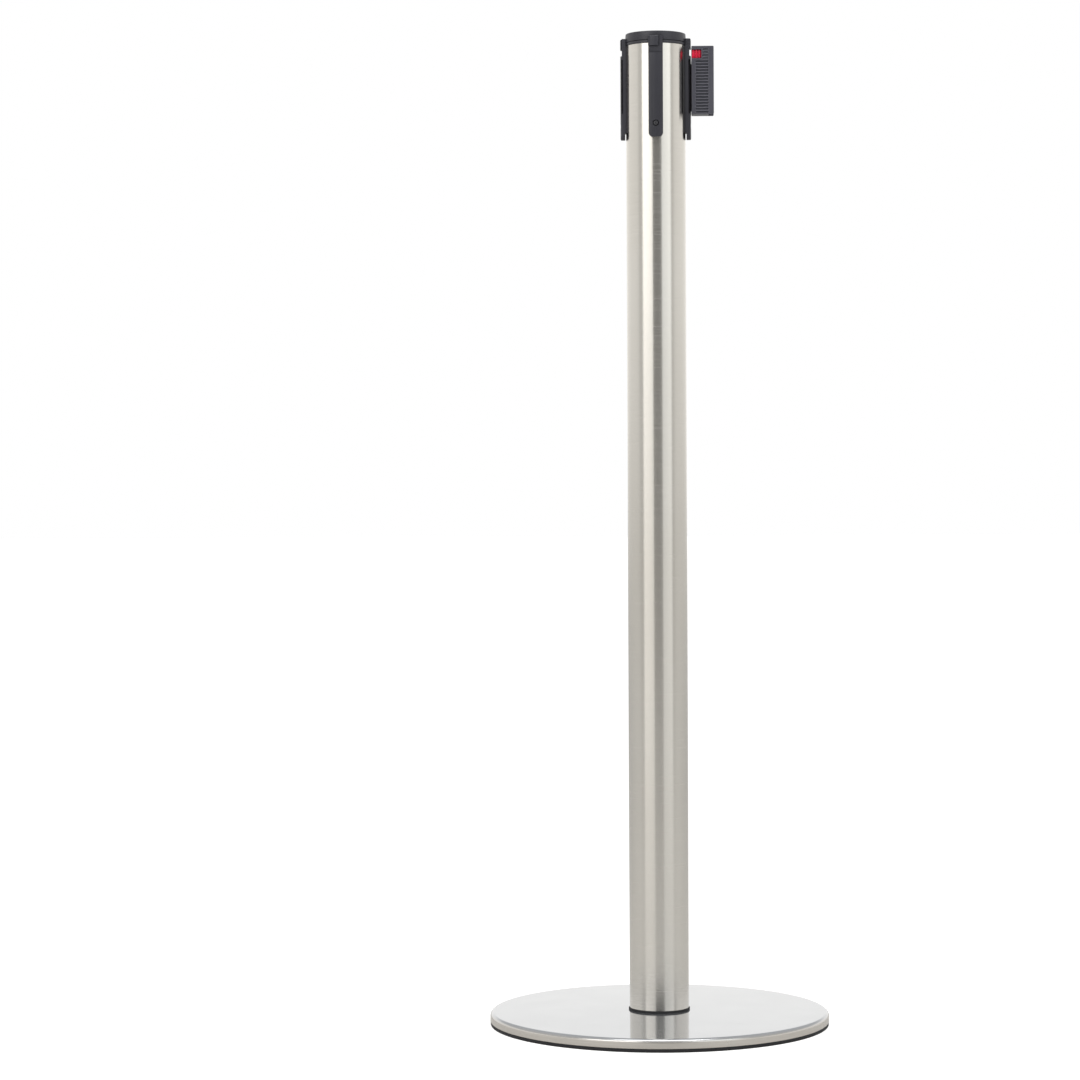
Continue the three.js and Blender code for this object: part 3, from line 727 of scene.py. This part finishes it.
def cap_pieces():
    fillet = 0.9 * MM
    r_top = CAP_HIGH.x - 0.4 * MM
    plug = 28 * MM
    joint = COLLAR_HIGH.z + 0.3 * MM
    shell = [(0, CAP_HIGH.z - 3 * MM), (plug - 2 * MM, CAP_HIGH.z - 3 * MM), (plug - 2 * MM, CAP_LOW.z),
             (plug, CAP_LOW.z), (plug, joint)]
    shell += arc(CAP_HIGH.x - 0.3 * MM, joint + 0.3 * MM, 0.3 * MM, -90, 0, 3)
    shell += arc(r_top - fillet, CAP_HIGH.z - fillet, fillet, 5, 90, 8)
    shell += [(r_top * f, CAP_HIGH.z) for f in (0.8, 0.5, 0.2)] + [(0, CAP_HIGH.z)]
    cap = shade(lathe("cap", shell, 160, closed=False))
    piece(cap, "top_cap", "post", "black_plastic", ["cap"])

    low = TUBE_HIGH.z
    skirt = TUBE_R - TUBE_WALL - 0.3 * MM
    outline = [(plug + 0.3 * MM, COLLAR_LOW.z), (skirt, COLLAR_LOW.z), (skirt, low), (COLLAR_HIGH.x, low),
               (COLLAR_HIGH.x, COLLAR_HIGH.z), (plug + 0.3 * MM, COLLAR_HIGH.z)]
    radii = [0.2 * MM, 0.2 * MM, 0, 0.3 * MM, 0.4 * MM, 0.1 * MM]
    collar = shade(lathe("collar", rounded(outline, radii, 3), 160))
    piece(collar, "top_collar", "post", "black_plastic", ["cap_collar"])


def rail_shape(with_slot):
    """A clip rail facing -Y: crowned front, side grooves, notch, and a block set off to its left."""
    back = TUBE_R - 1.5 * MM
    crown = 0.9 * MM
    side = RAIL_FACE - crown
    bulge = RAIL_HALF - 0.7 * MM
    front = [(x * bulge, -RAIL_FACE + crown * 0.9 * x * x) for x in (1 - k / 4 for k in range(9))]
    plan = [(-RAIL_HALF, -back), (RAIL_HALF, -back), (RAIL_HALF, -side)] + front + [(-RAIL_HALF, -side)]
    bar = prism("rail", plan, RAIL_LOW.z, RAIL_HIGH.z)
    z0, z1 = RAIL_LOW.z, RAIL_HIGH.z
    face_on = [(-RAIL_HALF, z0), (RAIL_HALF, z0), (RAIL_HALF, z1), (-RAIL_HALF, z1)]
    side_on = [(-RAIL_FACE, z0), (0, z0), (0, z1), (-RAIL_FACE, z1)]
    common(
        bar,
        prism("a", rounded(face_on, [4.6 * MM, 4.6 * MM, 1 * MM, 1 * MM], 10), -RAIL_FACE - MM, 0, "XZ"),
        prism("b", rounded(side_on, [1.6 * MM, 0, 0, 2 * MM], 8), -0.02, 0.02, "YZ"),
    )
    soften(bar, 0.28 * MM, 2)
    join(bar, block(-RAIL_HALF - RAIL_OVERHANG, -RAIL_HALF + 2 * MM, -RAIL_FACE + 0.45 * MM,
                    -RAIL_FACE + 3 * MM, NOTCH[1], RAIL_HIGH.z - 1 * MM))
    reach = RAIL_HALF + 2 * MM
    floor = -RAIL_FACE + NOTCH_DEPTH
    groove_in = RAIL_HALF - GROOVE_DEPTH
    groove_y = (-RAIL_FACE + GROOVE_LIP, -RAIL_FACE + GROOVE_LIP + GROOVE_WIDTH)
    cut(
        bar,
        rod(TUBE_R + 0.04 * MM, 0.9, 1.1, segments=240),
        rod(CAP_HIGH.x + 0.25 * MM, TUBE_HIGH.z - 0.2 * MM, 1.1, segments=240),
        block(-reach, reach, -0.04, floor, *NOTCH),
        block(BLOCK_RIGHT, reach, -0.04, floor, NOTCH[1] - MM, RAIL_HIGH.z + MM),
        block(-reach, -groove_in, *groove_y, *GROOVE),
        block(groove_in, reach, *groove_y, *GROOVE),
        block(-reach, reach, -TUBE_R - 1 * MM, 0, RAIL_LOW.z - MM, RAIL_LOW.z + 7 * MM),
        rod(3.3 * MM, -0.05, -RAIL_FACE + 2.2 * MM, "Y", 48, (0, 0, SCREW_Z)),
        rod(2.2 * MM, -0.05, 0, "Y", 32, (0, 0, SCREW_Z)),
    )
    if with_slot:
        cut(bar, block(-1.9 * MM, 1.9 * MM, -0.05, 0, *BELT_MOUTH), crossing=True)
    return welded(bar)


def rail_screw_shape():
    head = 2.35 * MM
    top = RAIL_FACE - 0.35 * MM
    under = RAIL_FACE - 2.15 * MM
    tip = -SCREW_HIGH.y
    outline = [(0, tip), (1.6 * MM, tip), (1.9 * MM, tip + 0.4 * MM), (1.9 * MM, under), (head, under)]
    outline += arc(head - 0.5 * MM, top - 0.5 * MM, 0.5 * MM, 0, 90, 5) + [(0, top)]
    screw = lathe("screw", outline, 48, closed=False)
    hexagon = arc(0, 0, 1.15 * MM, 0, 300, 5)
    cut(screw, prism("key", hexagon, top - 1.0 * MM, top + MM))
    screw.data.transform(Matrix.Translation((0, 0, SCREW_Z)) @ Matrix.Rotation(math.pi / 2, 4, "X"))
    return soften(screw, 0.08 * MM, 1, 50)


def rail_pieces():
    sides = {"front": 0, "exit": 1, "back": 2, "left": 3}
    plain = rail_shape(False)
    slotted = rail_shape(True)
    screw = rail_screw_shape()
    for side, quarter in sides.items():
        turn = Matrix.Rotation(quarter * math.pi / 2, 4, "Z")
        source = slotted if side == "exit" else plain
        for shape, name, slot, node in (
            (source, f"clip_rail_{side}", "black_plastic", f"rail_{side}"),
            (screw, f"socket_screw_{side}", "black_steel", f"rail_screw_{side}"),
        ):
            mesh = shape.data.copy()
            mesh.transform(turn)
            piece(new_object(name, mesh), name, "post", slot, [node])
    for spare in (plain, slotted, screw):
        bpy.data.objects.remove(spare)


def rib_cutter(x0, x1, y, z, half_high, depth):
    """A long groove cutter with round ends, lying along X."""
    steps = 6
    profile = [(0, x0)] + [(half_high * math.sin(a), x0 + half_high * (1 - math.cos(a)))
                           for a in (math.pi / 2 * k / steps for k in range(1, steps + 1))]
    profile += [(r, x0 + x1 - x) for r, x in reversed(profile)]
    tool = lathe("groove", profile, 20, closed=False)
    flat = Matrix.Diagonal((1, depth / half_high, 1, 1))
    off_plane = Matrix.Rotation(math.pi / 20, 4, "Z")
    turn = Matrix.Rotation(math.pi / 2, 4, "Y") @ off_plane
    tool.data.transform(Matrix.Translation((0, y, z)) @ flat @ turn)
    return tool


def clip_shell(side, screw_seats):
    """Half of the clip's housing: side is -1 for the front half and 1 for the back half."""
    seam = side * 0.02 * MM
    outer = side * CLIP_HALF
    corner = 1.2 * MM
    plan = [(CLIP_IN, seam), (CLIP_OUT, seam), (CLIP_OUT, outer), (CLIP_IN, outer)]
    shell = prism("shell", rounded(plan, [0, 0, corner, 0.8 * MM], 8), CLIP_LOW, CLIP_HIGH)
    face_on = [(CLIP_IN, CLIP_LOW), (CLIP_OUT, CLIP_LOW), (CLIP_OUT, CLIP_HIGH), (CLIP_IN, CLIP_HIGH)]
    end_on = [(seam, CLIP_LOW), (outer, CLIP_LOW), (outer, CLIP_HIGH), (seam, CLIP_HIGH)]
    common(
        shell,
        prism("a", rounded(face_on, [0.8 * MM, corner, corner, 0.8 * MM], 8), -0.02, 0.02, "XZ"),
        prism("b", rounded(end_on, [0, 0.9 * MM, 0.9 * MM, 0], 6), 0, 0.1, "YZ"),
    )
    y_in, y_out = sorted((-side * MM, side * CHANNEL_HALF))
    cut(shell, block(CHANNEL_FLOOR, CLIP_OUT + MM, y_in, y_out, CLIP_LOW - MM, CLIP_HIGH + MM))
    lip = CHANNEL_FLOOR + 1.5 * MM
    jaw_y = sorted((side * JAW_IN, side * (CHANNEL_HALF + MM)))
    nose_y = sorted((2 * seam, side * 3 * MM))
    join(
        shell,
        block(lip, lip + 1.3 * MM, *jaw_y, JAW_LOW, JAW_HIGH),
        block(SHELL_LOW.x, CLIP_IN + MM, *nose_y, BELT_LOW - 2.9 * MM, BELT_HIGH + 2.8 * MM),
    )
    pitch = (RIB_LAST - RIB_FIRST) / (RIB_COUNT - 1)
    grooves, shoulders = [], []
    ease = 0.22 * MM
    for i in range(RIB_COUNT):
        z = RIB_FIRST + i * pitch
        lock_level = z > LOCK_LOW.z - 1.5 * MM
        start = PAD_END + 1.2 * MM if side < 0 and lock_level else RIB_X0
        depth = 0.9 * MM if lock_level else 1.3 * MM
        grooves.append(rib_cutter(start, RIB_X1, outer, z, RIB_HALF, depth))
        if side < 0:
            shoulders.append(rib_cutter(start - ease, RIB_X1 + ease, outer, z, RIB_HALF + ease, ease))
    pin_x = (PIN_LOW.x + PIN_HIGH.x) / 2
    eye = rod(3.5 * MM, *BELT_MOUTH, "Z", 40, (pin_x, 0, 0))
    mouth = block(SHELL_LOW.x - MM, pin_x, -0.6 * MM, 0.6 * MM, *BELT_MOUTH)
    cut(shell, eye, mouth)
    if side < 0:
        cut(shell, merged(screw_seats + shoulders + grooves), crossing=True)
    else:
        cut(shell, merged(grooves), *screw_seats)
    return shell


def clip_front(screw_x, heights):
    """The ribbed front half, with the window that the red lock slides in."""
    gap = 0.25 * MM
    shell = clip_shell(-1, [rod(1.7 * MM, -6.5 * MM, 1 * MM, "Y", 24, (screw_x, 0, z)) for z in heights])
    z0, z1 = LOCK_LOW.z - gap, LOCK_HIGH.z + gap
    tongue_back = -4.2 * MM
    spring_z = (LOCK_LOW.z + 1.6 * MM, LOCK_HIGH.z - 1.6 * MM)
    cut(
        shell,
        block(CLIP_IN - MM, PAD_END + 0.3 * MM, -CLIP_HALF - MM, tongue_back, z0, z1),
        block(CLIP_IN - MM, CHANNEL_FLOOR + MM, LOCK_LOW.y - 0.2 * MM, tongue_back, z0, z1),
        block(40.6 * MM, 52.4 * MM, tongue_back - 0.4 * MM, -3.1 * MM, *spring_z),
    )
    return welded(shell)


def clip_back(screw_x, heights):
    """The back half, with a counterbored hole for each screw."""
    seats = []
    for z in heights:
        seats.append(rod(1.7 * MM, -MM, 11 * MM, "Y", 24, (screw_x, 0, z)))
        seats.append(rod(2.52 * MM, CLIP_HALF - 2.5 * MM, 11 * MM, "Y", 32, (screw_x, 0, z)))
    return welded(clip_shell(1, seats))


def housing_screw(screw_x, z):
    """A small socket screw, its head in the back half."""
    shank, head, head_high = 1.4 * MM, 2.4 * MM, 1.4 * MM
    tip, top = -6.2 * MM, CLIP_HALF - 0.8 * MM
    outline = [(0, tip), (shank - 0.3 * MM, tip), (shank, tip + 0.4 * MM), (shank, top - head_high),
               (head, top - head_high)]
    outline += arc(head - 0.5 * MM, top - 0.5 * MM, 0.5 * MM, 0, 90, 4) + [(0, top)]
    screw = lathe("screw", outline, 32, closed=False)
    cut(screw, prism("key", arc(0, 0, 1.1 * MM, 0, 300, 5), top - 0.9 * MM, top + MM))
    screw.data.transform(Matrix.Translation((screw_x, 0, z)) @ Matrix.Rotation(-math.pi / 2, 4, "X"))
    return soften(screw, 0.06 * MM, 1, 50)


def clip_pieces():
    screw_x = 53.2 * MM
    middle = (BELT_LOW + BELT_HIGH) / 2
    heights = (middle - 18 * MM, middle + 18 * MM)
    front = clip_front(screw_x, heights)
    piece(front, "clip_housing_front", "belt_clip", "black_plastic", ["clip_shell_front"], "clip_plastic")
    back = clip_back(screw_x, heights)
    piece(back, "clip_housing_back", "belt_clip", "black_plastic", ["clip_shell_back"], "clip_plastic")
    for i, z in enumerate(heights, 1):
        screw = housing_screw(screw_x, z)
        piece(screw, f"housing_screw_{i}", "belt_clip", "plain_steel", [f"clip_screw_{i}"])


def lock_piece():
    """The red thumb slide: three upright rounded grip ridges on a flat tongue."""
    crest = LOCK_LOW.y
    bed = crest + 0.8 * MM
    pitch = (PAD_END - LOCK_LOW.x) / 3
    first = LOCK_LOW.x + pitch / 2
    outline = [(LOCK_LOW.x, LOCK_HIGH.y), (LOCK_LOW.x, bed)]
    for i in range(3):
        centre = first + i * pitch
        for k in range(13):
            a = math.pi * k / 12
            outline.append((centre - 1.05 * MM * math.cos(a), bed + (crest - bed) * math.sin(a) ** 0.7))
    outline += [(LOCK_HIGH.x, bed), (LOCK_HIGH.x, LOCK_HIGH.y)]
    slide = prism("lock", outline, LOCK_LOW.z, LOCK_HIGH.z)
    tongue = NOTCH[0] + 0.4 * MM
    cut(slide, block(CHANNEL_FLOOR - 4 * MM, CHANNEL_FLOOR, -0.02, 0, LOCK_LOW.z - MM, tongue))
    soften(slide, 0.15 * MM, 2)
    piece(slide, "lock_slide_red", "lock", "red_plastic", ["lock_slider"])


def belt_piece():
    """The webbing from the roll to the clip's pin. Its middle is a straight run of short spans."""
    pin = Vector(((PIN_LOW.x + PIN_HIGH.x) / 2, 0))
    pin_r = (PIN_HIGH.x - PIN_LOW.x) / 2 + 0.35 * MM + BELT_THICK / 2
    roll = Vector(((ROLL_LOW.x + ROLL_HIGH.x) / 2, (ROLL_LOW.y + ROLL_HIGH.y) / 2))
    roll_r = (ROLL_HIGH.x - ROLL_LOW.x) / 2 + 0.3 * MM
    guide = Vector(((GUIDE_LOW.x + GUIDE_HIGH.x) / 2, (GUIDE_LOW.y + GUIDE_HIGH.y) / 2))
    guide_r = (GUIDE_HIGH.x - GUIDE_LOW.x) / 2 + 0.1 * MM + BELT_THICK / 2
    across = guide - roll
    slope = math.atan2(across.y, across.x) - math.asin((roll_r + guide_r) / across.length)
    leave = math.pi / 2 + slope
    path = [roll + roll_r * Vector((math.cos(leave), math.sin(leave)))]
    for k in range(9):
        a = -math.pi / 2 + slope * (1 - k / 8)
        path.append(guide + guide_r * Vector((math.cos(a), math.sin(a))))
    start_x, end_x = path[-1].x + 0.5 * MM, pin.x - pin_r - 0.6 * MM
    level = path[-1].y
    spans = 72
    for k in range(spans + 1):
        t = k / spans
        path.append(Vector((start_x + (end_x - start_x) * t, level * (1 - t))))
    for k in range(25):
        a = math.radians(168 - 336 * k / 24)
        path.append(pin + pin_r * Vector((math.cos(a), math.sin(a))))
    bm = bmesh.new()
    half = BELT_THICK / 2
    edge = 0.4 * MM
    section = [(-half * 0.5, BELT_LOW), (-half, BELT_LOW + edge), (-half, BELT_HIGH - edge),
               (-half * 0.5, BELT_HIGH), (half * 0.5, BELT_HIGH), (half, BELT_HIGH - edge),
               (half, BELT_LOW + edge), (half * 0.5, BELT_LOW)]
    rings = []
    for i, point in enumerate(path):
        ahead = path[min(i + 1, len(path) - 1)] - path[max(i - 1, 0)]
        normal = Vector((-ahead.y, ahead.x)).normalized()
        rings.append([bm.verts.new((*(point + normal * d), z)) for d, z in section])
    for one, two in zip(rings, rings[1:]):
        for k in range(len(section)):
            n = (k + 1) % len(section)
            bm.faces.new((one[k], one[n], two[n], two[k]))
    bm.faces.new(rings[0])
    bm.faces.new(rings[-1])
    belt = shade(from_bmesh("belt", bm), 60)
    piece(belt, "belt_webbing", None, "webbing", ["belt_tail", "belt_lead"])
    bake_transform(belt)


base_pieces()
post_tube()
cap_pieces()
rail_pieces()
clip_pieces()
lock_piece()
belt_piece()


# ---------------------------------------------------------------- CAD nodes that stay
def finish_cad_nodes():
    """Gives every CAD node that still shows the finish of its record's slot."""
    slots = {part["node"]: part["material_slot"] for part in frame["record"]["subparts"]}
    for name, obj in frame["nodes"].items():
        if obj.hide_render:
            continue
        look = "webbing_roll" if name == "belt_roll" else slots[name]
        obj.data.materials.clear()
        obj.data.materials.append(MATERIALS[look])
        for slot in obj.material_slots:
            slot.material = MATERIALS[look]


finish_cad_nodes()


# ---------------------------------------------------------------- stage, light and camera
def stage_floor():
    """A pale sheet that the camera sees as white as the backdrop."""
    bm = bmesh.new()
    bmesh.ops.create_grid(bm, x_segments=4, y_segments=4, size=30)
    floor = from_bmesh("floor", bm)
    s = Surface("studio_floor", Roughness=0.9)
    s.shader.inputs["Base Color"].default_value = grey(0.71, 0.008)
    s.shader.inputs["Specular IOR Level"].default_value = 0.1
    s.shader.inputs["Emission Color"].default_value = (1, 1, 1, 1)
    seen = s.node("ShaderNodeLightPath").outputs["Is Camera Ray"]
    s.set("Emission Strength", s.maths("MULTIPLY", seen, 0.6))
    floor.data.materials.append(s.material)


def softbox(name, azimuth, distance, width, low, high, radiance, tint):
    """A tall studio light that faces the post. Azimuth is seen from the post, 0 at -Y, plus to +X."""
    area = width * (high - low)
    data = bpy.data.lights.new(name, "AREA")
    data.shape = "RECTANGLE"
    data.size, data.size_y = width, high - low
    data.energy = radiance * math.pi * area
    data.color = tint
    light = bpy.data.objects.new(name, data)
    bpy.context.scene.collection.objects.link(light)
    a = math.radians(azimuth)
    out = Vector((math.sin(a), -math.cos(a), 0))
    light.location = out * distance + Vector((0, 0, (low + high) / 2))
    light.rotation_mode = "QUATERNION"
    light.rotation_quaternion = out.to_track_quat("Z", "Y")
    light.visible_camera = False
    return light


def studio_light():
    """A white room, dim behind the camera, with two tall softboxes and one overhead."""
    world = bpy.data.worlds.new("studio")
    bpy.context.scene.world = world
    world.use_nodes = True
    tree = world.node_tree
    tree.nodes.clear()

    def node(kind, **settings):
        made = tree.nodes.new(kind)
        for key, value in settings.items():
            setattr(made, key, value)
        return made

    def maths(operation, *values):
        made = node("ShaderNodeMath", operation=operation)
        for socket, value in zip(made.inputs, values):
            if isinstance(value, float):
                socket.default_value = value
            else:
                tree.links.new(value, socket)
        return made.outputs[0]

    split = node("ShaderNodeSeparateXYZ")
    tree.links.new(node("ShaderNodeTexCoord").outputs["Generated"], split.inputs[0])
    x, y = split.outputs["X"], split.outputs["Y"]
    reach = maths("SQRT", maths("ADD", maths("MULTIPLY", x, x), maths("MULTIPLY", y, y)))
    toward_camera = maths("DIVIDE", maths("MULTIPLY", y, -1.0), reach)
    ramp = node("ShaderNodeValToRGB")
    stops = ((0.0, 1.18), (0.24, 1.12), (0.40, 0.80), (0.60, 0.74),
             (0.90, 0.34), (0.965, 0.08), (1.0, 0.05))
    ends = ramp.color_ramp.elements
    while len(ends) < len(stops):
        ends.new(0.5)
    for element, (position, value) in zip(ends, stops):
        element.position = position
        element.color = (value, value * 0.988, value * 0.965, 1)
    tree.links.new(toward_camera, ramp.inputs["Fac"])
    height = node("ShaderNodeMapRange", interpolation_type="SMOOTHSTEP")
    height.inputs["From Min"].default_value = 0.20
    height.inputs["From Max"].default_value = 0.42
    tree.links.new(split.outputs["Z"], height.inputs["Value"])
    wall = node("ShaderNodeMix", data_type="RGBA")
    wall.inputs["B"].default_value = (0.66, 0.66, 0.65, 1)
    tree.links.new(height.outputs["Result"], wall.inputs["Factor"])
    tree.links.new(ramp.outputs["Color"], wall.inputs["A"])
    room = node("ShaderNodeBackground")
    tree.links.new(wall.outputs["Result"], room.inputs["Color"])
    sheet = node("ShaderNodeBackground")
    sheet.inputs["Color"].default_value = (1, 1, 1, 1)
    mix = node("ShaderNodeMixShader")
    tree.links.new(node("ShaderNodeLightPath").outputs["Is Camera Ray"], mix.inputs["Fac"])
    tree.links.new(room.outputs[0], mix.inputs[1])
    tree.links.new(sheet.outputs[0], mix.inputs[2])
    tree.links.new(mix.outputs[0], node("ShaderNodeOutputWorld").inputs["Surface"])

    softbox("key_left_high", -34, 2.6, 1.9, 1.14, 2.7, 2.2, (1.0, 0.99, 0.975))
    softbox("key_left_low", -34, 2.6, 1.9, 0.02, 1.12, 0.68, (1.0, 0.985, 0.96))
    softbox("fill_right_high", 40, 2.6, 1.8, 1.14, 2.7, 1.08, (0.94, 0.99, 1.0))
    softbox("fill_right_low", 40, 2.6, 1.8, 0.02, 1.12, 0.53, (0.97, 0.99, 1.0))

    data = bpy.data.lights.new("overhead", "AREA")
    data.shape = "RECTANGLE"
    data.size, data.size_y = 2.2, 1.6
    data.energy = 3.2 * math.pi * data.size * data.size_y
    light = bpy.data.objects.new("overhead", data)
    bpy.context.scene.collection.objects.link(light)
    light.location = (0.1, -1.0, 3.0)
    light.rotation_euler = (math.radians(-22), 0, 0)
    light.visible_camera = False


def photo_camera():
    """The photograph's view: a long lens, a little above the middle of the post."""
    distance, height = 3.3849, 0.5763
    heading, pitch, roll = 0.03689, -0.01812, -0.00472
    data = bpy.data.cameras.new("photo_view")
    data.sensor_width = 36.0
    data.lens = 106.137
    data.clip_start, data.clip_end = 0.05, 100
    camera = bpy.data.objects.new("photo_view", data)
    bpy.context.scene.collection.objects.link(camera)
    camera.location = (0, -distance, height)
    forward = Vector((-math.sin(heading) * math.cos(pitch), math.cos(heading) * math.cos(pitch),
                      math.sin(pitch)))
    right = Vector((math.cos(heading), math.sin(heading), 0))
    up = right.cross(forward)
    tilt = Matrix.Rotation(-roll, 3, forward)
    basis = Matrix((tilt @ right, tilt @ up, -forward)).transposed()
    camera.rotation_mode = "QUATERNION"
    camera.rotation_quaternion = basis.to_quaternion()
    bpy.context.scene.camera = camera


stage_floor()
studio_light()
photo_camera()

bpy.context.scene.view_settings.view_transform = "Standard"
bpy.context.scene.view_settings.look = "None"
